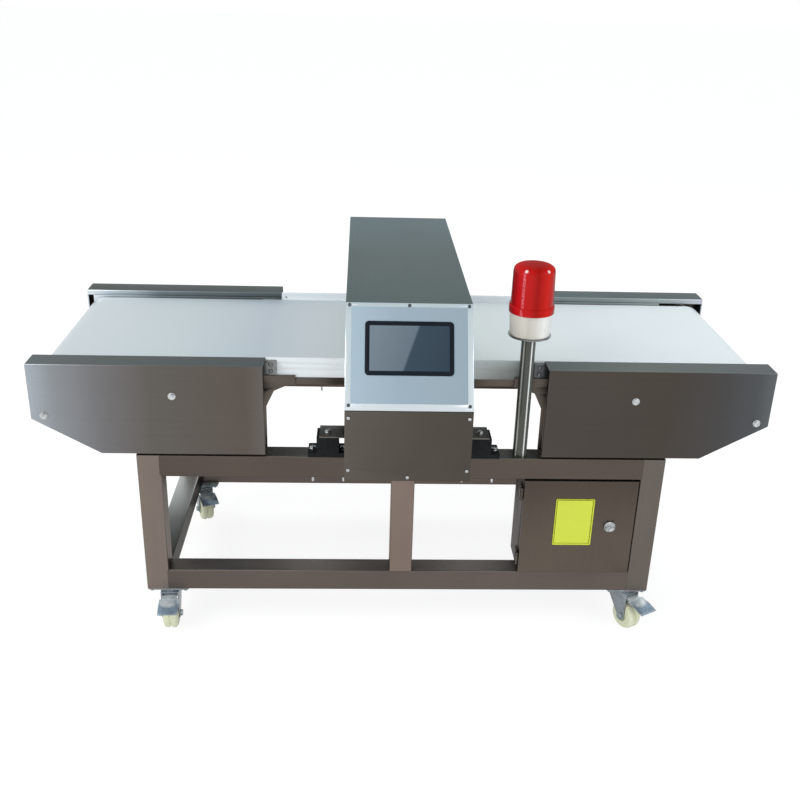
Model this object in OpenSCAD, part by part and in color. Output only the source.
// Conveyor metal detector for food, on a square-tube frame with four braked casters.
// Millimetres. X runs along the belt, the operator stands at -Y, +Z is up.
// The origin lies on the floor, under the middle of the frame.

/* [Frame] */
// Distance that the covers reach past the frame's ends
overhang = 207; // [190:1:220]
// Distance that the long rails reach in past the side plates' outer faces
rail_lap = 7; // [5:0.5:12]
// Height of the frame from the foot of its legs to the top of its rails
frame_h = 334; // [310:2:380]
// Outside width of the square tube
tube = 50; // [46:1:54]
// Wall of the square tube
tube_wall = 2; // [1:0.5:4]
// Corner radius of the square tube
tube_r = 3; // [1:0.5:6]

/* [Casters] */
// Height of the frame's underside over the wheels
fork_rise = 40; // [38:1:50]
// Diameter of a wheel
wheel_d = 65; // [60:1:67]
// Width of a wheel
wheel_w = 32; // [26:1:36]
// Distance that a wheel trails behind its swivel
trail = 22; // [18:1:26]
// Length of a top plate, along the belt
pad_l = 92; // [80:1:100]
// Width of a top plate
pad_w = 68; // [60:1:76]
// Thickness of a top plate
pad_t = 3; // [2:0.5:5]
// Diameter of an axle bolt
axle_d = 8; // [6:0.5:10]
// Width of a brake pedal at its step and lip
pedal_w = 44; // [34:1:50]
// Way that the front left wheel trails, from +X
heading_fl = -87; // [-180:1:180]
// Way that the front right wheel trails, from +X
heading_fr = -60; // [-180:1:180]
// Way that the rear left wheel trails, from +X
heading_rl = -68; // [-180:1:180]
// Way that the rear right wheel trails, from +X
heading_rr = -60; // [-180:1:180]

/* [Conveyor] */
// Height of the belt over the frame
belt_rise = 190; // [180:1:200]
// Width of the belt
belt_w = 420; // [380:5:430]
// Thickness of the belt
belt_t = 2; // [1:0.5:4]
// Distance between the end rollers' axes
roller_span = 1452; // [1420:2:1480]
// Diameter of an end roller
roller_d = 72; // [50:1:80]
// Diameter of a return roller
return_roller_d = 30; // [24:1:34]
// Distance from a return roller's axis to the plastic bed's end
return_in = 10; // [8:1:40]
// Drop from the plastic bed to the return run
return_drop = 18; // [14:1:22]
// Thickness of the plastic bed
plastic_bed_t = 25; // [12:1:30]
// Gap between the belt and a side board
belt_margin = 12; // [8:0.5:20]
// Distance that the plastic bed reaches under a cover
bed_under = 47; // [40:1:60]
// Thickness of a side board
board_t = 5; // [3:0.5:8]
// Thickness of the conveyor's side plates
plate_t = 5; // [3:0.5:6]

/* [Covers] */
// Height of the covers and boards over the belt
guard_h = 15; // [12:1:30]
// Distance between the head and a cover
bay = 168; // [150:1:200]
// Distance that a cover reaches past the belt's end
belt_end_gap = 7.7; // [1.5:0.1:12]
// Distance that the covers stand out from the frame
cover_over = 3; // [1:0.5:8]
// Height of a cover's end
cover_end_h = 121; // [110:1:135]
// Length of the cut corner
cover_cut = 138; // [120:2:150]
// Height of the gap between a cover and the frame
cover_gap = 6; // [3:0.5:10]
// Height of the edge of a cover's lip over the belt
lip_clear = 2.5; // [1:0.5:6]
// Thickness of the cover sheet
sheet_t = 2; // [1:0.5:3]

/* [Search head] */
// Width of the head along the belt
head_w = 250; // [230:2:260]
// Distance that the casing stands out from the front covers
head_reach = 140; // [120:1:160]
// Distance that the casing stands out from the rear covers
head_reach_back = 144; // [120:1:160]
// Height of the casing's top over the tunnel
head_over = 48; // [30:1:60]
// Distance that the panel leans back
panel_lean = 115; // [100:1:130]
// Wall of the casing
head_wall = 3; // [2:0.5:5]
// Clear height over the belt in the tunnel
pass_h = 115; // [100:1:126]
// Gap between a side board and the tunnel's wall
tunnel_gap = 8; // [5:0.5:15]
// Wall of the tunnel's liner
liner_t = 4; // [3:0.5:6]

/* [Control panel] */
// Margin at each side of the printed sheet
overlay_side = 11; // [4:0.5:20]
// Width of the touchscreen's frame
screen_w = 174; // [160:1:190]
// Height of the touchscreen's frame
screen_h = 108; // [100:1:120]
// Width of the frame around the glass
screen_edge = 9; // [6:0.5:14]
// Distance from the panel's foot to the touchscreen
screen_up = 69; // [60:1:80]
// Distance from the touchscreen to the panel's top
screen_top = 36.6; // [30:0.1:45]

/* [Head mounts] */
// Height of a rubber mount
mount_h = 45; // [40:1:50]
// Length of a rubber mount's block
mount_block = 47; // [40:1:52]
// Distance from the casing's side to a mount's axis
mount_out = 37; // [32:1:45]

/* [Beacon] */
// Diameter of the post
post_d = 30; // [26:1:32]
// Height of the post over the frame
post_h = 273; // [250:1:300]
// Distance from the post's axis to the cover
post_in = 42.5; // [40:0.5:60]
// Diameter of the lamp's base
lamp_d = 88; // [80:1:96]
// Height of the lamp's base
lamp_base_h = 51; // [40:1:60]
// Height of the lens
lens_h = 97; // [85:1:110]

/* [Cabinet] */
// Width of the cabinet
cabinet_w = 250; // [230:2:260]
// Depth of the cabinet with its door
cabinet_d = 110; // [100:1:140]
// Gap between the cabinet and the leg
cabinet_gap = 2; // [1.5:0.5:10]
// Thickness of the cabinet's sheet
cabinet_t = 1.5; // [1:0.25:2.5]
// Diameter of the door lock
lock_d = 25; // [18:1:30]

/* [Hidden] */
$fn = 48;

// Clearances and overruns
run_gap = 0.05;
seat_gap = 0.3;
hole_gap = 0.2;
over = 1;

// Heights
caster_h = wheel_d + fork_rise;
frame_top = caster_h + frame_h;
rail_low = frame_top - tube;
belt_z = frame_top + belt_rise;
bed_top = belt_z - belt_t;
bed_low = bed_top - plastic_bed_t;
guard_top = belt_z + guard_h;
return_z = bed_low - return_drop - belt_t;
cover_low = frame_top + cover_gap;
lip_h = guard_h - lip_clear;
tunnel_top = belt_z + pass_h;
tunnel_under = 11;
tunnel_low = return_z - tunnel_under;
flange_up = 23;
head_low = frame_top + mount_h - flange_up;
head_top = tunnel_top + head_over;

// Places along the belt, from the middle
cover_in = head_w / 2 + bay;
bed_l = 2 * (cover_in + bed_under);
return_x = bed_l / 2 - return_in;
belt_gap = seat_gap;
belt_in_r = roller_d / 2 + belt_gap;
belt_out_r = belt_in_r + belt_t;
roller_x = roller_span / 2;
cover_out = roller_x + belt_out_r + belt_end_gap;
cover_l = cover_out - cover_in;
frame_l = 2 * (cover_out - overhang);
mount_x = head_w / 2 + mount_out;
post_x = cover_in - post_in;

// Places across the belt, from the middle
bed_w = belt_w + 2 * belt_margin;
board_y = bed_w / 2 + board_t;
plate_y = board_y + plate_t;
frame_w = 2 * (plate_y + tube - rail_lap);
cover_y = frame_w / 2 + cover_over;
lip_back = 0.5;
cover_d = cover_y - bed_w / 2 - lip_back;
tunnel_w = 2 * (board_y + tunnel_gap);
head_front = cover_y + head_reach;
head_back = cover_y + head_reach_back;

// Frame
rail_y = (frame_w - tube) / 2;
leg_x = (frame_l - tube) / 2;

// Casters
swivel_x = (frame_l - pad_l) / 2;
swivel_y = (frame_w - pad_w) / 2;
pad_r = 8;
race_d = 50;
race_h = 6;
king_d = 12;
king_nut_d = 20;
king_nut_h = 5;
crown_t = 4;
fork_t = 2.5;
fork_gap = 1.5;
fork_back = 25;
fork_front = 32;
fork_end_r = 11;
fork_in = wheel_w / 2 + fork_gap;
fork_out = fork_in + fork_t;
axle_z = wheel_d / 2;
axle_r = axle_d / 2;
axle_head_r = 7;
axle_head_h = 5;
pad_low = caster_h - pad_t;
race_low = pad_low - race_h;
crown_top = race_low - seat_gap;
crown_low = crown_top - crown_t;
pad_bolt_r = 5;
pad_bolt_h = 5;
pad_bolt_in = 9;
tread_r = 8;
groove_w = 3;
groove_depth = 3;
hub_r = 11;
hub_recess = 3;
pivot_drop = 12;
pivot_back = 6;
pivot_x = trail - pivot_back;
pivot_z = crown_low - pivot_drop;
pivot_r = 2.5;
sleeve_r = 5;
pedal_t = 2;
pedal_neck = 26;
pedal_neck_w = fork_in * 2 - 2 * fork_gap;
pedal_step = 20;
pedal_lip = 26;
pedal_fall = 2;
pedal_step_fall = 2;
pedal_lip_fall = 7;
shoe_l = 12;
headings = [heading_fl, heading_fr, heading_rl, heading_rr];
corners = [[-1, -1], [1, -1], [-1, 1], [1, 1]];

// Conveyor
roller_z = belt_z - belt_out_r;
return_roller_z = return_z - belt_gap - return_roller_d / 2;
roller_over = 4;
shaft_r = 10;
return_shaft_r = 6;
board_lap = 5;
plate_top = bed_low + board_lap;
angle_h = 16;
angle_t = 2;
nose = 62;
nose_bevel = 15;
nose_rise = 14;
throat_run = 17;
throat_rise = 36;
foot_end = 5;
foot_in = 9;
foot_w = tube - rail_lap - foot_in;
foot_bolt_tip = 4;
foot_bolt_shares = [0.25, 0.75];
plate_end = 10;
plate_cut_rise = 9;
steel_bed_t = 2;
steel_skirt = 24;
steel_bed_end = 34;
bed_joint = 1;
clamp_l = 30;
clamp_h = 30;
clamp_t = 8;
clamp_shown = 23;
clamp_lift = 3;
bearing_r = 22;
bearing_t = 12;
bearing_foot = 43;
takeup_r = 4;
takeup_l = 36;
takeup_block = 14;
stud_r = 8;
bolt_r = 4;
bolt_head_r = 7;
bolt_head_h = 5;
bolt_tip_gap = 1;
clamp_screw_r = 2;
clamp_screw_head_r = 4.5;
clamp_screw_head_h = 2.5;
cover_bolt_out = 27;
cover_bolt_low = 114;
cover_bolt_in = 188;
cover_bolt_high = 67;

// Drive
motor_in = 179;
motor_x = roller_x - motor_in;
motor_up = 5.3;
motor_z = (frame_top + roller_z - belt_out_r) / 2 + motor_up;
gearbox_w = 90;
gearbox_l = 40;
motor_r = 42;
motor_l = 130;
motor_box = [50, 60, 30];
output_r = 8;
roller_pulley_r = 24;
motor_pulley_r = 17;
pulley_w = 14;
pulley_flange_t = 2;
pulley_flange_h = 4;
pulley_gap = 4;
pulley_y = plate_y + bearing_t + pulley_gap;
drive_belt_t = 3;

// Cover details
return_w = 8;

// Search head
panel_l = screen_up + screen_h + screen_top;
panel_rise = sqrt(panel_l * panel_l - panel_lean * panel_lean);
panel_tilt = atan2(panel_rise, panel_lean);
panel_foot = head_top - panel_rise;
head_front_h = panel_foot - head_low;
cover_t = 2;
panel_t = 2;
window_edge = 18;
overlay_up = 13.5;
overlay_top = 8.1;
overlay_w = head_w - 2 * overlay_side;
overlay_h = panel_l - overlay_up - overlay_top;
overlay_t = 0.6;
case_depth = 34;
case_edge = 2;
case_proud = 1.6;
glass_t = 1.2;
screen_r = 8;
head_screw_r = 3.5;
head_screw_h = 2;
head_screw_stem_r = 1.75;
head_screw_tip = 1;
head_screw_in = 7.5;
panel_screw_low = 10;
panel_screw_high = 4.5;
panel_joint = 0.5;
front_screw_top = 15;
front_screw_mid = 23;
front_screw_low = 8;
flange_past = 18;
flange_l = mount_out + flange_past;
flange_over = 7;
flange_w = tube + flange_over;
flange_t = 3;
coil = 12;
coil_pitch = 60;
board_w = 160;
board_h = 110;
pcb_t = 2;
board_feet = 14;
chip = [40, 8, 30];
chip_step = 50;

// Head mounts
tab_h = 9;
mount_bolt_gap = 2.5;
mount_bolt_reach = mount_block / 2 + bolt_head_r + mount_bolt_gap;
mount_end = 9;
mount_l = 2 * (mount_bolt_reach + mount_end);
mount_bolt_tail = 15;

// Beacon
post_wall = 2;
lamp_plate_t = 3;
lamp_screw_r = 2;
lamp_screw_tail = 7;
lamp_screw_share = 0.36;
lamp_base_draft = 3;
lens_ring_over = 2;
lens_ring_r = lamp_d / 2 + lens_ring_over;
lens_ring_h = 12;
lens_in = 0.5;
lens_low_r = lamp_d / 2 - lens_in;
lens_draft = 2;
lens_high_r = lens_low_r - lens_draft;
lens_wall = 2.5;
lens_round = 10;
bulb_r = 8;
bulb_h = 38;
socket_r = 12;
socket_h = 14;
turntable_gap = 7;
turntable_r = lens_high_r - lens_wall - turntable_gap;
reflector_in = 2;
reflector_r = turntable_r - reflector_in;
reflector_t = 1.5;
reflector_h = 56;
turntable_h = 4;
post_foot_z = frame_top + post_h;
lamp_z = post_foot_z + lamp_plate_t;
lens_z = lamp_z + lamp_base_h;

// Cabinet
cabinet_right = frame_l / 2 - tube - cabinet_gap;
cabinet_left = cabinet_right - cabinet_w;
cabinet_low = caster_h + tube;
cabinet_top_gap = 1;
cabinet_h = frame_h - 2 * tube - cabinet_top_gap;
cabinet_front = cover_y;
cabinet_back = cabinet_front - cabinet_d;
door_d = 13.5;
door_gap = 0.4;
door_edge = 1;
rim = 12;
box_front = cabinet_front - door_d - door_gap;
hinge_r = 4;
hinge_pin_r = 2;
hinge_in = 5;
hinge_x = cabinet_left - hinge_r;
hinge_y = cabinet_front - hinge_in;
hinge_l = 30;
knuckle = 14;
knuckle_gap = 0.3;
leaf_t = 2.4;
leaf_l = 20;
hinge_low_share = 0.15;
hinge_high_share = 0.85;
lock_in = 54;
lock_share = 0.52;
lock_z = cabinet_low + cabinet_h * lock_share;
lock_face = 4;
lock_stem_r = 6;
lock_slot = 3;
cam_w = 12;
cam_l = 48;
cam_t = 2;
cam_gap = 0.6;
electrics_in = 20;
electrics_up = 30;
electrics_gap = 8;
supply_over = 53;
supply_d = 38;
drive_over = 83;
drive_d = 46;
gland_r = 11;
gland_bore_r = 5;
gland_l = 18;
gland_nut_r = 14;
gland_nut_t = 6;
gland_in = 26;
gland_up = 60;
electrics_w = (cabinet_w - 3 * electrics_in - gland_in - electrics_gap) / 2;
supply = [electrics_w, supply_d, cabinet_h - electrics_up - supply_over];
drive_box = [electrics_w, drive_d, cabinet_h - electrics_up - drive_over];

// Two-dimensional shapes

// A rectangle with round corners, centred
module rounded_rect(w, h, r) {
    square([w - 2 * r, h], center = true);
    square([w, h - 2 * r], center = true);
    for (x = [-1, 1], y = [-1, 1])
        translate([x * (w / 2 - r), y * (h / 2 - r)])
            circle(r);
}

// The band round two circles, filled
module loop(a, ra, b, rb) {
    d = norm(b - a);
    way = atan2(b[1] - a[1], b[0] - a[0]);
    turn = acos((ra - rb) / d);
    translate(a)
        circle(ra);
    translate(b)
        circle(rb);
    polygon([
        a + ra * [cos(way + turn), sin(way + turn)],
        b + rb * [cos(way + turn), sin(way + turn)],
        b + rb * [cos(way - turn), sin(way - turn)],
        a + ra * [cos(way - turn), sin(way - turn)]
    ]);
}

// Placing

// A drawing in X and Z, given a thickness from its outer face at -Y inwards
module on_front(y_out, t) {
    translate([0, t - y_out, 0])
        rotate([90, 0, 0])
            linear_extrude(t)
                children();
}

module both_ends() {
    children();
    mirror([1, 0, 0])
        children();
}

module both_sides() {
    children();
    mirror([0, 1, 0])
        children();
}

// A rod along +Y from y, at x and z
module rod_y(x, y, z, r, l) {
    translate([x, y, z])
        rotate([-90, 0, 0])
            cylinder(r = r, h = l);
}

// On the leaning panel: X across, Y up the slope, Z out of it
module on_panel() {
    translate([0, -head_front, panel_foot])
        rotate([panel_tilt, 0, 0])
            children();
}

// Frame

module square_tube(l) {
    linear_extrude(l)
        difference() {
            rounded_rect(tube, tube, tube_r);
            square(tube - 2 * tube_wall, center = true);
        }
}

module frame_legs() {
    color("#6b625c")
        for (c = corners)
            translate([c[0] * leg_x, c[1] * rail_y, caster_h]) {
                square_tube(frame_h - tube_wall);
                translate([0, 0, frame_h - tube_wall])
                    linear_extrude(tube_wall)
                        rounded_rect(tube, tube, tube_r);
            }
}

// Calls its child at each bolt of the rubber mounts
module at_mount_bolts() {
    for (x = [-1, 1], b = [-1, 1])
        translate([x * mount_x + b * mount_bolt_reach, 0, 0])
            children();
}

// Calls its child at each bolt of the side plates' feet
module at_foot_bolts() {
    for (x = [-1, 1], share = foot_bolt_shares)
        translate([x * (cover_in + (frame_l / 2 - foot_end - cover_in) * share), 0, 0])
            children();
}

module frame_long_rails() {
    l = frame_l - 2 * tube;
    color("#6b625c")
        for (y = [-1, 1])
            translate([0, y * rail_y, 0])
                difference() {
                    for (z = [caster_h, rail_low])
                        translate([-l / 2, 0, z + tube / 2])
                            rotate([0, 90, 0])
                                square_tube(l);
                    at_mount_bolts()
                        translate([0, 0, rail_low - over])
                            cylinder(r = bolt_r + hole_gap, h = tube + 2 * over);
                    at_foot_bolts()
                        translate([0, 0, frame_top - tube_wall - over])
                            cylinder(r = bolt_r + hole_gap, h = tube_wall + 2 * over);
                }
}

module frame_cross_rails() {
    l = frame_w - 2 * tube;
    color("#6b625c") {
        for (x = [-1, 1], z = [caster_h, rail_low])
            translate([x * leg_x, l / 2, z + tube / 2])
                rotate([90, 0, 0])
                    square_tube(l);
        translate([0, -rail_y, caster_h + tube])
            square_tube(frame_h - 2 * tube);
    }
}

// Casters

module at_swivel(i) {
    translate([corners[i][0] * swivel_x, corners[i][1] * swivel_y, 0])
        rotate([0, 0, headings[i]])
            children();
}

module caster_plates() {
    color("#8d9499")
        for (c = corners)
            translate([c[0] * swivel_x, c[1] * swivel_y, 0]) {
                translate([0, 0, pad_low])
                    linear_extrude(pad_t)
                        rounded_rect(pad_l, pad_w, pad_r);
                translate([0, 0, race_low])
                    cylinder(d = race_d, h = race_h);
                translate([0, 0, crown_low - seat_gap])
                    cylinder(d = king_d, h = crown_t + 2 * seat_gap);
                translate([0, 0, crown_low - seat_gap - king_nut_h])
                    cylinder(d = king_nut_d, h = king_nut_h);
                for (x = [-1, 1], y = [-1, 1])
                    translate([x * (pad_l / 2 - pad_bolt_in), y * (pad_w / 2 - pad_bolt_in),
                               pad_low - pad_bolt_h])
                        cylinder(r = pad_bolt_r, h = pad_bolt_h, $fn = 6);
            }
}

module fork_leg_outline() {
    polygon([
        [-fork_back, crown_low + crown_t / 2],
        [fork_front, crown_low + crown_t / 2],
        [trail + fork_end_r, axle_z],
        [trail - fork_end_r, axle_z],
        [-fork_back, crown_low - pivot_drop]
    ]);
    translate([trail, axle_z])
        circle(fork_end_r);
}

module caster_fork(i) {
    color("#aeb9bd")
        at_swivel(i) {
            difference() {
                union() {
                    for (y = [-fork_in, fork_out])
                        translate([0, y, 0])
                            rotate([90, 0, 0])
                                linear_extrude(fork_t)
                                    fork_leg_outline();
                    translate([0, 0, crown_low])
                        cylinder(d = race_d, h = crown_t);
                    translate([-fork_back, -fork_out, crown_low])
                        cube([fork_back + fork_front, 2 * fork_out, crown_t / 2]);
                }
                translate([0, 0, crown_low - over])
                    cylinder(d = king_d + 2 * run_gap, h = crown_t + 2 * over);
                rod_y(trail, -fork_out - over, axle_z, axle_r + run_gap, 2 * (fork_out + over));
                rod_y(pivot_x, -fork_out - over, pivot_z, pivot_r + run_gap, 2 * (fork_out + over));
            }
            rod_y(trail, -fork_out - axle_head_h, axle_z, axle_r, 2 * (fork_out + axle_head_h));
            for (y = [-fork_out - axle_head_h, fork_out + run_gap])
                translate([trail, y, axle_z])
                    rotate([-90, 0, 0])
                        cylinder(r = axle_head_r, h = axle_head_h - run_gap, $fn = 6);
        }
}

// Half of a wheel's outline: radius against width
module wheel_half() {
    r = wheel_d / 2;
    w = wheel_w / 2;
    bore = axle_r + run_gap;
    translate([bore, 0])
        square([r - groove_depth - bore, w - hub_recess]);
    translate([hub_r + hub_recess, 0])
        square([r - tread_r - hub_r - hub_recess, w]);
    translate([r - 2 * tread_r, groove_w / 2])
        square([tread_r, w - groove_w / 2]);
    translate([r - tread_r, groove_w / 2 + tread_r / 2])
        square([tread_r, w - groove_w / 2 - tread_r * 3 / 2]);
    translate([r - tread_r, w - tread_r])
        circle(tread_r);
    translate([r - tread_r / 2, groove_w / 2 + tread_r / 2])
        circle(tread_r / 2);
    translate([r - 2 * tread_r, groove_w / 2])
        square([tread_r * 3 / 2, tread_r]);
    translate([bore, 0])
        square([hub_r - bore, w + fork_gap - seat_gap]);
}

module caster_wheel(i) {
    color("#d9dcb4")
        at_swivel(i)
            translate([trail, 0, axle_z])
                rotate([90, 0, 0])
                    rotate_extrude() {
                        wheel_half();
                        mirror([0, 1])
                            wheel_half();
                    }
}

// Side view of the pedal's narrow neck, from its pivot to its step
module pedal_outline() {
    x1 = pivot_x + pedal_neck;
    z0 = pivot_z + sleeve_r - pedal_t;
    z1 = z0 - pedal_fall;
    polygon([
        [pivot_x, z0],
        [x1 + pedal_t, z1],
        [x1 + pedal_t, z1 + pedal_t],
        [x1, z1 + pedal_t],
        [pivot_x, z0 + pedal_t]
    ]);
}

// Side view of the pedal's wide step and lip
module pedal_lip_outline() {
    x1 = pivot_x + pedal_neck;
    x2 = x1 + pedal_step;
    x3 = x2 + pedal_lip;
    z1 = pivot_z + sleeve_r - pedal_t - pedal_fall;
    z2 = z1 - pedal_step_fall;
    z3 = z2 - pedal_lip_fall;
    polygon([
        [x1, z1],
        [x2, z2],
        [x3, z3],
        [x3 + pedal_t, z3 + pedal_t],
        [x2 + pedal_t, z2 + pedal_t],
        [x1, z1 + pedal_t]
    ]);
}

module brake_pedal(i) {
    shoe_low = wheel_d + seat_gap;
    color("#9fb0b6")
        at_swivel(i)
            union() {
                translate([0, pedal_neck_w / 2, 0])
                    rotate([90, 0, 0])
                        linear_extrude(pedal_neck_w)
                            pedal_outline();
                translate([0, pedal_w / 2, 0])
                    rotate([90, 0, 0])
                        linear_extrude(pedal_w)
                            pedal_lip_outline();
                rod_y(pivot_x, -pedal_neck_w / 2, pivot_z, sleeve_r, pedal_neck_w);
                rod_y(pivot_x, -fork_out, pivot_z, pivot_r, 2 * fork_out);
                translate([trail - shoe_l / 2, -pedal_neck_w / 4, shoe_low])
                    cube([shoe_l, pedal_neck_w / 2, pivot_z - shoe_low]);
            }
}

// Conveyor

// Side plate of one end, in X and Z: it stands on the rail and reaches towards the head
module side_plate_outline() {
    nose_x = cover_in - nose;
    knee_x = cover_in - throat_run;
    knee_z = bed_low - angle_h - nose_rise;
    end_x = cover_out - plate_end;
    end_low = guard_top - cover_end_h + plate_cut_rise / 2;
    cut_x = cover_out - cover_cut - plate_end;
    polygon([
        [nose_x, plate_top],
        [nose_x, bed_low - angle_h],
        [nose_x + nose_bevel, bed_low - angle_h],
        [knee_x, knee_z],
        [cover_in, knee_z - throat_rise],
        [cover_in, frame_top],
        [frame_l / 2 - foot_end, frame_top],
        [cut_x, cover_low + plate_cut_rise],
        [end_x, end_low],
        [end_x, plate_top]
    ]);
}

// Calls its child at each cover bolt of the right end
module at_cover_bolts() {
    translate([cover_out - cover_bolt_out, 0, guard_top - cover_bolt_low])
        children();
    translate([cover_in + cover_bolt_in, 0, guard_top - cover_bolt_high])
        children();
}

module side_plate() {
    difference() {
        union() {
            on_front(plate_y, plate_t)
                side_plate_outline();
            at_cover_bolts()
                rod_y(0, -cover_y + sheet_t, 0, stud_r, cover_y - sheet_t - plate_y + plate_t);
        }
        rod_y(roller_x, -plate_y - over, roller_z, shaft_r + hole_gap, plate_t + 2 * over);
        rod_y(return_x, -plate_y - over, return_roller_z, return_shaft_r + run_gap,
              plate_t + 2 * over);
        at_cover_bolts()
            rod_y(0, -cover_y, 0, bolt_r + hole_gap, cover_y - plate_y);
    }
}

// Foot bar of a side plate, bolted to the rail
module side_plate_foot() {
    foot_l = frame_l / 2 - foot_end - cover_in;
    difference() {
        translate([cover_in, -plate_y - foot_w, frame_top])
            cube([foot_l, foot_w - seat_gap, plate_t]);
        at_foot_bolts()
            translate([0, -rail_y, frame_top - over])
                cylinder(r = bolt_r + hole_gap, h = plate_t + 2 * over);
    }
}

// Four side plates with their studs, each beside its foot bar
module side_plates() {
    color("#77736d")
        difference() {
            both_sides()
                both_ends() {
                    side_plate();
                    side_plate_foot();
                }
            rod_y(motor_x, plate_y - plate_t - over, motor_z, output_r + hole_gap, plate_t + 2 * over);
        }
}

module steel_beds() {
    x0 = bed_l / 2 + bed_joint;
    l = roller_x - steel_bed_end - x0;
    w = 2 * board_y;
    color("#9a9c9a")
        both_ends()
            difference() {
                translate([x0, -w / 2, bed_top - steel_skirt])
                    cube([l, w, steel_skirt]);
                translate([x0 - over, steel_bed_t - w / 2, bed_top - steel_skirt - over])
                    cube([l + 2 * over, w - 2 * steel_bed_t, steel_skirt + over - steel_bed_t]);
            }
}

module plastic_bed() {
    color("#eef1f2")
        translate([-bed_l / 2, -bed_w / 2, bed_low])
            cube([bed_l, bed_w, plastic_bed_t]);
}

module side_boards() {
    shown = 2 * cover_in - 2 * bed_joint;
    lap_top = guard_top - lip_h - bed_joint;
    color("#eef1f2")
        both_sides()
            difference() {
                union() {
                    translate([-bed_l / 2, -board_y, bed_low])
                        cube([bed_l, board_t, lap_top - bed_low]);
                    translate([-shown / 2, -board_y, bed_low])
                        cube([shown, board_t, guard_top - bed_low]);
                }
                at_clamp_screws()
                    rod_y(0, -board_y - over, 0, clamp_screw_r + hole_gap, board_t + 2 * over);
            }
}

module bed_angles() {
    x0 = head_w / 2 + head_wall;
    l = bed_l / 2 - x0;
    color("#6e6a63")
        both_sides()
            both_ends() {
                translate([x0, -board_y, bed_low - angle_h])
                    cube([l, angle_t, angle_h]);
                translate([x0, -board_y, bed_low - angle_t])
                    cube([l, angle_h, angle_t]);
            }
}

// Calls its child at each screw of the board clamps, at both ends
module at_clamp_screws() {
    x = cover_in - clamp_shown / 2;
    z = plate_top + clamp_lift + clamp_h / 2;
    for (e = [-1, 1], s = [-1, 1])
        translate([e * x, 0, z + s * clamp_h / 4])
            children();
}

module board_clamps() {
    color("#8a8f90")
        both_sides()
            difference() {
                both_ends()
                    translate([cover_in - clamp_shown, -board_y - clamp_t, plate_top + clamp_lift])
                        cube([clamp_l, clamp_t, clamp_h]);
                at_clamp_screws()
                    rod_y(0, -board_y - clamp_t - over, 0, clamp_screw_r + hole_gap,
                          clamp_t + 2 * over);
            }
}

// Point where a line from p touches the underside of the circle r round c
function touch(c, r, p) =
    let (v = p - c, a = atan2(v[1], v[0]) + acos(r / norm(v)))
    c + r * [cos(a), sin(a)];

// What the belt encloses, in X and Z, out to radius r at the end rollers
module belt_side(r, z_return) {
    c = [roller_x, roller_z];
    p = [return_x, z_return];
    t = touch(c, r, p);
    for (x = [-1, 1])
        translate([x * roller_x, roller_z])
            circle(r);
    polygon([
        [-roller_x, roller_z + r],
        [roller_x, roller_z + r],
        t,
        p,
        [-p[0], p[1]],
        [-t[0], t[1]]
    ]);
}

module conveyor_belt() {
    color("#dfe6ea")
        on_front(belt_w / 2, belt_w)
            difference() {
                belt_side(belt_out_r, return_z);
                belt_side(belt_in_r, return_z + belt_t);
            }
}

module end_roller(shaft_front, shaft_back) {
    l = belt_w + 2 * roller_over;
    rod_y(0, -l / 2, 0, roller_d / 2, l);
    rod_y(0, -shaft_front, 0, shaft_r, shaft_front + shaft_back);
}

module drive_roller() {
    color("#3a3d3f")
        translate([roller_x, 0, roller_z])
            end_roller(plate_y + bearing_t, pulley_y + pulley_w);
}

module tail_roller() {
    color("#9a9c9a")
        translate([-roller_x, 0, roller_z])
            end_roller(plate_y + bearing_t, plate_y + bearing_t);
}

module return_roller(side) {
    l = belt_w + 2 * roller_over;
    color("#9a9c9a")
        translate([side * return_x, 0, return_roller_z]) {
            rod_y(0, -l / 2, 0, return_roller_d / 2, l);
            rod_y(0, -plate_y - roller_over, 0, return_shaft_r, 2 * (plate_y + roller_over));
        }
}

module return_roller_left() return_roller(-1);

module return_roller_right() return_roller(1);

// Flange bearing on the outer face of a side plate, with a square foot and a round boss
module flange_bearing() {
    difference() {
        union() {
            translate([-bearing_r, -plate_y - bearing_t / 2, -bearing_r])
                cube([bearing_foot, bearing_t / 2, bearing_r + shaft_r]);
            rod_y(0, -plate_y - bearing_t, 0, bearing_r - roller_over, bearing_t);
        }
        rod_y(0, -plate_y - bearing_t - over, 0, shaft_r + run_gap, bearing_t + 2 * over);
    }
}

module roller_bearings() {
    color("#4d5357")
        both_sides() {
            translate([roller_x, 0, roller_z])
                flange_bearing();
            translate([-roller_x, 0, roller_z])
                mirror([1, 0, 0])
                    flange_bearing();
            takeup();
        }
}

// Adjusting screw that sets the tail bearing, in a block on the side plate
module takeup() {
    x = -roller_x + bearing_r;
    y = -plate_y - takeup_block / 2;
    translate([x, y, roller_z])
        rotate([0, 90, 0])
            cylinder(r = takeup_r, h = takeup_l);
    translate([x + takeup_l - takeup_block, -plate_y - takeup_block, roller_z - takeup_block / 2])
        cube([takeup_block, takeup_block, takeup_block]);
}

// Drive

module gearmotor() {
    y1 = plate_y - plate_t;
    y0 = y1 - gearbox_l;
    color("#5c6468")
        difference() {
            union() {
                translate([motor_x - gearbox_w / 2, y0, motor_z - gearbox_w / 2])
                    cube([gearbox_w, gearbox_l, gearbox_w]);
                rod_y(motor_x, y0 - motor_l, motor_z, motor_r, motor_l);
                translate([motor_x - motor_box[0] / 2 - motor_r, y0 - motor_l / 2 - motor_box[1] / 2,
                           motor_z - motor_box[2] / 2])
                    cube(motor_box);
            }
            rod_y(motor_x, y0 + gearbox_l / 4, motor_z, output_r + run_gap, gearbox_l);
        }
}

// Flat-belt pulley with two flanges, from y along +Y
module pulley(y, r) {
    rod_y(0, y, 0, r, pulley_w);
    for (f = [y, y + pulley_w - pulley_flange_t])
        rod_y(0, f, 0, r + pulley_flange_h, pulley_flange_t);
}

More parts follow.
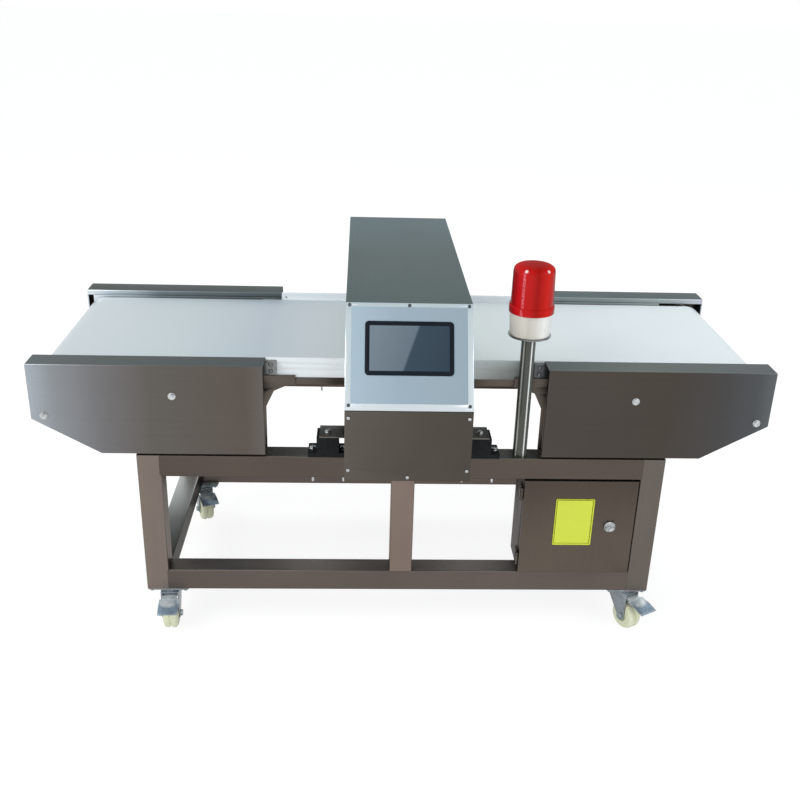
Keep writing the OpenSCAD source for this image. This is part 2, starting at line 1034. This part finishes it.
module motor_pulley() {
    y0 = plate_y - plate_t - gearbox_l * 3 / 4 + seat_gap;
    color("#6f777a")
        translate([motor_x, 0, motor_z]) {
            pulley(pulley_y, motor_pulley_r);
            rod_y(0, y0, 0, output_r, pulley_y - y0);
        }
}

module roller_pulley() {
    color("#6f777a")
        translate([roller_x, 0, roller_z])
            difference() {
                pulley(pulley_y, roller_pulley_r);
                rod_y(0, pulley_y - over, 0, shaft_r, pulley_w + 2 * over);
            }
}

module drive_belt() {
    a = [motor_x, motor_z];
    b = [roller_x, roller_z];
    ra = motor_pulley_r + seat_gap;
    rb = roller_pulley_r + seat_gap;
    w = pulley_w - 2 * pulley_flange_t - 2 * seat_gap;
    color("#1f2224")
        translate([0, pulley_y + pulley_flange_t + seat_gap + w, 0])
            rotate([90, 0, 0])
                linear_extrude(w)
                    difference() {
                        loop(a, ra + drive_belt_t, b, rb + drive_belt_t);
                        loop(a, ra, b, rb);
                    }
}

// Covers

// The front right cover; the others are its mirror images
module cover() {
    color("#6b645d")
        difference() {
            union() {
                on_front(cover_y, sheet_t)
                    polygon([
                        [cover_in, cover_low],
                        [cover_out - cover_cut, cover_low],
                        [cover_out, guard_top - cover_end_h],
                        [cover_out, guard_top],
                        [cover_in, guard_top]
                    ]);
                translate([cover_in, -cover_y, guard_top - sheet_t])
                    cube([cover_l, cover_d, sheet_t]);
                translate([cover_in, -cover_y + cover_d - sheet_t, guard_top - lip_h])
                    cube([cover_l, sheet_t, lip_h]);
                translate([cover_in, -cover_y, cover_low])
                    cube([sheet_t, return_w, guard_top - cover_low]);
                translate([cover_out - sheet_t, -cover_y, guard_top - cover_end_h])
                    cube([sheet_t, cover_d, cover_end_h]);
            }
            at_cover_bolts()
                rod_y(0, -cover_y - over, 0, bolt_r + hole_gap, sheet_t + 2 * over);
        }
}

module cover_front_right() cover();

module cover_front_left()
    mirror([1, 0, 0])
        cover();

module cover_rear_right()
    mirror([0, 1, 0])
        cover();

module cover_rear_left()
    mirror([1, 0, 0])
        mirror([0, 1, 0])
            cover();

// Hexagon bolt with its head's seat at the origin, pointing down
module hex_bolt(l) {
    cylinder(r = bolt_head_r, h = bolt_head_h, $fn = 6);
    translate([0, 0, -l])
        cylinder(r = bolt_r, h = l);
}

module conveyor_bolts() {
    color("#b9bcbd")
        both_sides() {
            both_ends()
                at_cover_bolts()
                    translate([0, -cover_y, 0])
                        rotate([90, 0, 0])
                            hex_bolt(cover_y - plate_y - bolt_tip_gap);
            at_foot_bolts()
                translate([0, -rail_y, frame_top + plate_t])
                    hex_bolt(plate_t + tube_wall + foot_bolt_tip);
            at_clamp_screws() {
                rod_y(0, -board_y - clamp_t, 0, clamp_screw_r, clamp_t + board_t);
                rod_y(0, -board_y - clamp_t - clamp_screw_head_h, 0, clamp_screw_head_r,
                      clamp_screw_head_h);
            }
        }
}

// Search head

// Side view of the casing in Y and Z, drawn in by e
module head_side(e) {
    foot_turn = (90 - panel_tilt) / 2;
    top_turn = panel_tilt / 2;
    polygon([
        [e - head_front, head_low + e],
        [e - head_front, panel_foot - e * tan(foot_turn)],
        [panel_lean - head_front + e * tan(top_turn), head_top - e],
        [head_back - e, head_top - e],
        [head_back - e, head_low + e]
    ]);
}

// A drawing in Y and Z, given a width centred on X
module across(w) {
    translate([-w / 2, 0, 0])
        rotate([90, 0, 90])
            linear_extrude(w)
                children();
}

module tunnel_hole(e) {
    translate([-tunnel_w / 2 - e, tunnel_low - e])
        square([tunnel_w + 2 * e, tunnel_top - tunnel_low + 2 * e]);
}

// Calls its first child at each panel screw and its second at each screw of the front cover, with Z
// out of the plate
module at_head_screws() {
    x = head_w / 2 - head_screw_in;
    on_panel() {
        for (s = [-1, 1], y = [panel_screw_low, panel_l - panel_screw_high])
            translate([s * x, y, panel_t])
                children(0);
        translate([0, panel_l - panel_screw_high, panel_t])
            children(0);
    }
    for (s = [-1, 1], z = [panel_foot - front_screw_top, head_low + front_screw_mid])
        translate([s * x, -head_front - cover_t, z])
            rotate([90, 0, 0])
                children(1);
    translate([0, -head_front - cover_t, head_low + front_screw_low])
        rotate([90, 0, 0])
            children(1);
}

// Hole for a head screw, through a plate of thickness t and the casing's wall
module head_screw_hole(t) {
    translate([0, 0, -t - head_wall - over])
        cylinder(r = head_screw_stem_r + hole_gap, h = t + head_wall + 2 * over);
}

module head_screw_holes() {
    at_head_screws() {
        head_screw_hole(panel_t);
        head_screw_hole(cover_t);
    }
}

module head_casing() {
    color("#6a655f")
        difference() {
            across(head_w)
                head_side(0);
            across(head_w - 2 * head_wall)
                head_side(head_wall);
            across(head_w + 2 * over)
                tunnel_hole(liner_t);
            translate([window_edge - head_w / 2, -head_front - over, head_low + window_edge])
                cube([head_w - 2 * window_edge, head_wall + 2 * over, head_front_h - 2 * window_edge]);
            on_panel()
                translate([-screen_w / 2, screen_up, -head_wall - over])
                    cube([screen_w, screen_h, head_wall + 2 * over]);
            head_screw_holes();
        }
}

module head_front_cover() {
    color("#675f59")
        difference() {
            translate([-head_w / 2, -head_front - cover_t, head_low])
                cube([head_w, cover_t, head_front_h - panel_joint]);
            head_screw_holes();
        }
}

module control_panel() {
    color("#c9d0d4")
        difference() {
            on_panel()
                difference() {
                    translate([-head_w / 2, 0, 0])
                        cube([head_w, panel_l, panel_t]);
                    translate([case_edge - screen_w / 2, screen_up + case_edge, -over])
                        cube([screen_w - 2 * case_edge, screen_h - 2 * case_edge, panel_t + 2 * over]);
                }
            head_screw_holes();
        }
}

module panel_overlay() {
    color("#a9b9c6")
        on_panel()
            difference() {
                translate([-overlay_w / 2, overlay_up, panel_t])
                    cube([overlay_w, overlay_h, overlay_t]);
                translate([0, screen_up + screen_h / 2, panel_t - over])
                    linear_extrude(overlay_t + 2 * over)
                        rounded_rect(screen_w, screen_h, screen_r);
            }
}

module touchscreen_case() {
    inner = [screen_w - 2 * screen_edge, screen_h - 2 * screen_edge];
    body = [screen_w - 2 * case_edge, screen_h - 2 * case_edge];
    color("#16222f")
        on_panel()
            translate([0, screen_up + screen_h / 2, 0])
                difference() {
                    union() {
                        translate([0, 0, panel_t])
                            linear_extrude(case_proud)
                                rounded_rect(screen_w, screen_h, screen_r);
                        translate([-body[0] / 2, -body[1] / 2, -case_depth])
                            cube([body[0], body[1], case_depth + panel_t]);
                    }
                    translate([-inner[0] / 2, -inner[1] / 2, panel_t + case_proud - glass_t])
                        cube([inner[0], inner[1], glass_t + over]);
                }
}

module touchscreen_glass() {
    inner = [screen_w - 2 * screen_edge, screen_h - 2 * screen_edge];
    color("#4f5f6b")
        on_panel()
            translate([-inner[0] / 2, screen_up + screen_edge, panel_t + case_proud - glass_t])
                cube([inner[0], inner[1], glass_t]);
}

// Round-headed screw with its head's seat at the origin, pointing down through a plate of thickness t
module head_screw(t) {
    cylinder(r = head_screw_r, h = head_screw_h);
    translate([0, 0, -t - head_wall - head_screw_tip])
        cylinder(r = head_screw_stem_r, h = t + head_wall + head_screw_tip);
}

module head_screws() {
    color("#4a4e50")
        at_head_screws() {
            head_screw(panel_t);
            head_screw(cover_t);
        }
}

module tunnel_liner() {
    color("#eceff0")
        difference() {
            across(head_w)
                tunnel_hole(liner_t);
            across(head_w + 2 * over)
                tunnel_hole(0);
        }
}

module search_coils() {
    color("#b0703a")
        for (i = [-1, 0, 1])
            translate([i * coil_pitch, 0, 0])
                difference() {
                    across(coil)
                        tunnel_hole(liner_t + coil);
                    across(coil + 2 * over)
                        tunnel_hole(liner_t);
                }
}

// Circuit board that stands on the casing's floor in front of the tunnel
module control_board() {
    y = -(head_front + tunnel_w / 2) / 2;
    z = head_low + head_wall;
    color("#2f6b46") {
        translate([-board_w / 2, y, z])
            cube([board_w, pcb_t, board_h]);
        for (s = [-1, 1])
            translate([s * board_w / 3 - board_feet / 2, y - board_feet, z])
                cube([board_feet, 2 * board_feet, pcb_t]);
        for (i = [-1, 0, 1])
            translate([i * chip_step - chip[0] / 2, y - chip[1], z + board_h / 2])
                cube(chip);
    }
}

// Head mounts

module head_flanges() {
    color("#77736d")
        both_sides()
            both_ends()
                difference() {
                    translate([head_w / 2, -frame_w / 2, frame_top + mount_h])
                        cube([flange_l, flange_w, flange_t]);
                    translate([mount_x, -rail_y, frame_top + mount_h - over])
                        cylinder(r = bolt_r + hole_gap, h = flange_t + 2 * over);
                }
}

module rubber_mounts() {
    color("#1d2728")
        both_sides()
            both_ends()
                translate([mount_x, -rail_y, frame_top])
                    difference() {
                        union() {
                            translate([-mount_l / 2, -tube / 2, 0])
                                cube([mount_l, tube, tab_h]);
                            translate([-mount_block / 2, -tube / 2, 0])
                                cube([mount_block, tube, mount_h]);
                        }
                        translate([0, 0, mount_h / 2])
                            cylinder(r = bolt_r + hole_gap, h = mount_h);
                        for (b = [-1, 1])
                            translate([b * mount_bolt_reach, 0, -over])
                                cylinder(r = bolt_r + hole_gap, h = tab_h + 2 * over);
                    }
}

module mount_bolts() {
    color("#b9bcbd")
        both_sides()
            translate([0, -rail_y, 0]) {
                at_mount_bolts()
                    translate([0, 0, frame_top + tab_h])
                        hex_bolt(tab_h + tube + mount_bolt_tail);
                for (x = [-1, 1])
                    translate([x * mount_x, 0, frame_top + mount_h + flange_t])
                        hex_bolt(mount_h / 3);
            }
}

// Beacon

module at_post() {
    translate([post_x, -rail_y, 0])
        children();
}

module beacon_post() {
    color("#c6c9c8")
        at_post()
            translate([0, 0, frame_top])
                difference() {
                    cylinder(d = post_d, h = post_h);
                    translate([0, 0, post_wall])
                        cylinder(d = post_d - 2 * post_wall, h = post_h);
                }
}

module beacon_plate() {
    color("#8e9190")
        at_post()
            translate([0, 0, post_foot_z]) {
                cylinder(d = lamp_d, h = lamp_plate_t);
                for (a = [30, 150, 270])
                    rotate([0, 0, a])
                        translate([lamp_d * lamp_screw_share, 0, -lamp_screw_tail])
                            cylinder(r = lamp_screw_r, h = lamp_screw_tail);
            }
}

// White lamp base with its bulb holder and bulb
module beacon_base() {
    color("#eae6e0")
        at_post()
            translate([0, 0, lamp_z]) {
                cylinder(r1 = lamp_d / 2 - lamp_base_draft, r2 = lamp_d / 2, h = lamp_base_h);
                translate([0, 0, lamp_base_h]) {
                    cylinder(r = socket_r, h = socket_h);
                    translate([0, 0, socket_h])
                        cylinder(r = bulb_r, h = bulb_h);
                    translate([0, 0, socket_h + bulb_h])
                        sphere(bulb_r);
                }
            }
}

// Outline of the lens drawn in by e, radius against height
module lens_outline(e) {
    top = lens_h - e;
    corner_r = lens_round - e;
    corner = [lens_high_r - lens_round, lens_h - lens_round];
    polygon(concat(
        [[0, 0], [lens_low_r - e, 0]],
        [for (a = [0 : 15 : 90]) corner + corner_r * [cos(a), sin(a)]],
        [[0, top]]
    ));
}

module beacon_lens() {
    color("#c8201a", 0.85)
        at_post()
            translate([0, 0, lens_z])
                rotate_extrude()
                    difference() {
                        union() {
                            lens_outline(0);
                            square([lens_ring_r, lens_ring_h]);
                        }
                        lens_outline(lens_wall);
                    }
}

// Half-round mirror on a turntable that runs round the bulb holder
module beacon_reflector() {
    color("#d7d9da")
        at_post()
            translate([0, 0, lens_z + seat_gap])
                difference() {
                    union() {
                        cylinder(r = turntable_r, h = turntable_h);
                        difference() {
                            cylinder(r = reflector_r, h = turntable_h + reflector_h);
                            translate([0, 0, turntable_h])
                                cylinder(r = reflector_r - reflector_t, h = reflector_h + over);
                            translate([-reflector_r - over, -reflector_r * 2, turntable_h])
                                cube([2 * (reflector_r + over), reflector_r * 2, reflector_h + over]);
                        }
                    }
                    translate([0, 0, -over])
                        cylinder(r = socket_r + run_gap, h = turntable_h + 2 * over);
                }
}

// Cabinet

// Calls its child at the foot of each hinge
module at_hinges() {
    for (s = [hinge_low_share, hinge_high_share])
        translate([hinge_x, -hinge_y, cabinet_low + s * cabinet_h - hinge_l / 2])
            children();
}

module cabinet_box() {
    w = cabinet_w;
    d = box_front - cabinet_back;
    h = cabinet_h;
    color("#5f5a55") {
        difference() {
            translate([cabinet_left, -box_front, cabinet_low])
                cube([w, d, h]);
            translate([cabinet_left + cabinet_t, cabinet_t - box_front, cabinet_low + cabinet_t])
                cube([w - 2 * cabinet_t, d - 2 * cabinet_t, h - 2 * cabinet_t]);
            translate([cabinet_left + rim, -box_front - over, cabinet_low + rim])
                cube([w - 2 * rim, cabinet_t + 2 * over, h - 2 * rim]);
            gland_hole();
        }
        at_hinges()
            fixed_leaf();
    }
}

module gland_hole() {
    rod_y(cabinet_left + gland_in, -cabinet_back - cabinet_t - over, cabinet_low + gland_up,
          gland_r + hole_gap, cabinet_t + 2 * over);
}

// Hinge leaf on the cabinet's side, with the two outer knuckles and the pin
module fixed_leaf() {
    side = (hinge_l - knuckle) / 2 - knuckle_gap;
    back = hinge_y - box_front;
    cylinder(r = hinge_pin_r, h = hinge_l);
    for (z = [0, hinge_l - side])
        translate([0, 0, z]) {
            cylinder(r = hinge_r, h = side);
            translate([-leaf_t / 2, 0, 0])
                cube([leaf_t, back + leaf_l, side]);
        }
    translate([-leaf_t / 2, back, 0])
        cube([cabinet_left - hinge_x + leaf_t / 2, leaf_l, hinge_l]);
}

module cabinet_door() {
    x0 = cabinet_left + door_gap;
    w = cabinet_w - 2 * door_gap;
    z0 = cabinet_low + door_edge;
    h = cabinet_h - 2 * door_edge;
    color("#655e58") {
        difference() {
            translate([x0, -cabinet_front, z0])
                cube([w, door_d, h]);
            translate([x0 + cabinet_t, cabinet_t - cabinet_front, z0 + cabinet_t])
                cube([w - 2 * cabinet_t, door_d, h - 2 * cabinet_t]);
            rod_y(cabinet_right - lock_in, -cabinet_front - over, lock_z, lock_stem_r + run_gap,
                  cabinet_t + 2 * over);
        }
        at_hinges()
            translate([0, 0, (hinge_l - knuckle) / 2])
                difference() {
                    union() {
                        cylinder(r = hinge_r, h = knuckle);
                        translate([0, -leaf_t / 2, 0])
                            cube([x0 - hinge_x + cabinet_t / 2, leaf_t, knuckle]);
                    }
                    translate([0, 0, -over])
                        cylinder(r = hinge_pin_r + run_gap, h = knuckle + 2 * over);
                }
    }
}

// Quarter-turn lock, drawn open: its cam hangs down inside the door
module door_lock() {
    x = cabinet_right - lock_in;
    cam_y = -box_front + cabinet_t + cam_gap;
    color("#c9cccd")
        difference() {
            union() {
                rod_y(x, -cabinet_front - lock_face, lock_z, lock_d / 2, lock_face - run_gap);
                rod_y(x, -cabinet_front - lock_face, lock_z, lock_stem_r,
                      cam_y + cam_t + cabinet_front + lock_face);
                translate([x - cam_w / 2, cam_y, lock_z - cam_l])
                    cube([cam_w, cam_t, cam_l + cam_w / 2]);
            }
            translate([x - lock_slot / 2, -cabinet_front - lock_face - over, lock_z - lock_stem_r])
                cube([lock_slot, lock_face / 2 + over, 2 * lock_stem_r]);
        }
}

module cabinet_electrics() {
    y = -cabinet_back - cabinet_t;
    z = cabinet_low + electrics_up;
    color("#8f9498") {
        translate([cabinet_left + electrics_in * 2 + gland_in, y - supply[1], z])
            cube(supply);
        translate([cabinet_right - electrics_in - drive_box[0], y - drive_box[1], z])
            cube(drive_box);
    }
}

module cable_gland() {
    x = cabinet_left + gland_in;
    z = cabinet_low + gland_up;
    color("#2b2d2e")
        difference() {
            union() {
                rod_y(x, -cabinet_back, z, gland_nut_r, gland_nut_t);
                rod_y(x, -cabinet_back, z, gland_r, gland_l);
                rod_y(x, -cabinet_back - cabinet_t - gland_nut_t, z, gland_r, cabinet_t + gland_nut_t);
            }
            rod_y(x, -cabinet_back - cabinet_t - gland_nut_t - over, z, gland_bore_r,
                  cabinet_t + gland_nut_t + gland_l + 2 * over);
        }
}

frame_legs();
frame_long_rails();
frame_cross_rails();
caster_plates();
caster_fork(0);  // caster_fork_fl
caster_fork(1);  // caster_fork_fr
caster_fork(2);  // caster_fork_rl
caster_fork(3);  // caster_fork_rr
caster_wheel(0);  // caster_wheel_fl
caster_wheel(1);  // caster_wheel_fr
caster_wheel(2);  // caster_wheel_rl
caster_wheel(3);  // caster_wheel_rr
brake_pedal(0);  // brake_pedal_fl
brake_pedal(1);  // brake_pedal_fr
brake_pedal(2);  // brake_pedal_rl
brake_pedal(3);  // brake_pedal_rr
side_plates();
steel_beds();
plastic_bed();
side_boards();
bed_angles();
board_clamps();
conveyor_belt();
drive_roller();
tail_roller();
return_roller_left();
return_roller_right();
roller_bearings();
gearmotor();
motor_pulley();
roller_pulley();
drive_belt();
cover_front_left();
cover_front_right();
cover_rear_left();
cover_rear_right();
conveyor_bolts();
head_casing();
head_front_cover();
control_panel();
panel_overlay();
touchscreen_case();
touchscreen_glass();
head_screws();
tunnel_liner();
search_coils();
control_board();
head_flanges();
rubber_mounts();
mount_bolts();
beacon_post();
beacon_plate();
beacon_base();
beacon_lens();
beacon_reflector();
cabinet_box();
cabinet_door();
door_lock();
cabinet_electrics();
cable_gland();
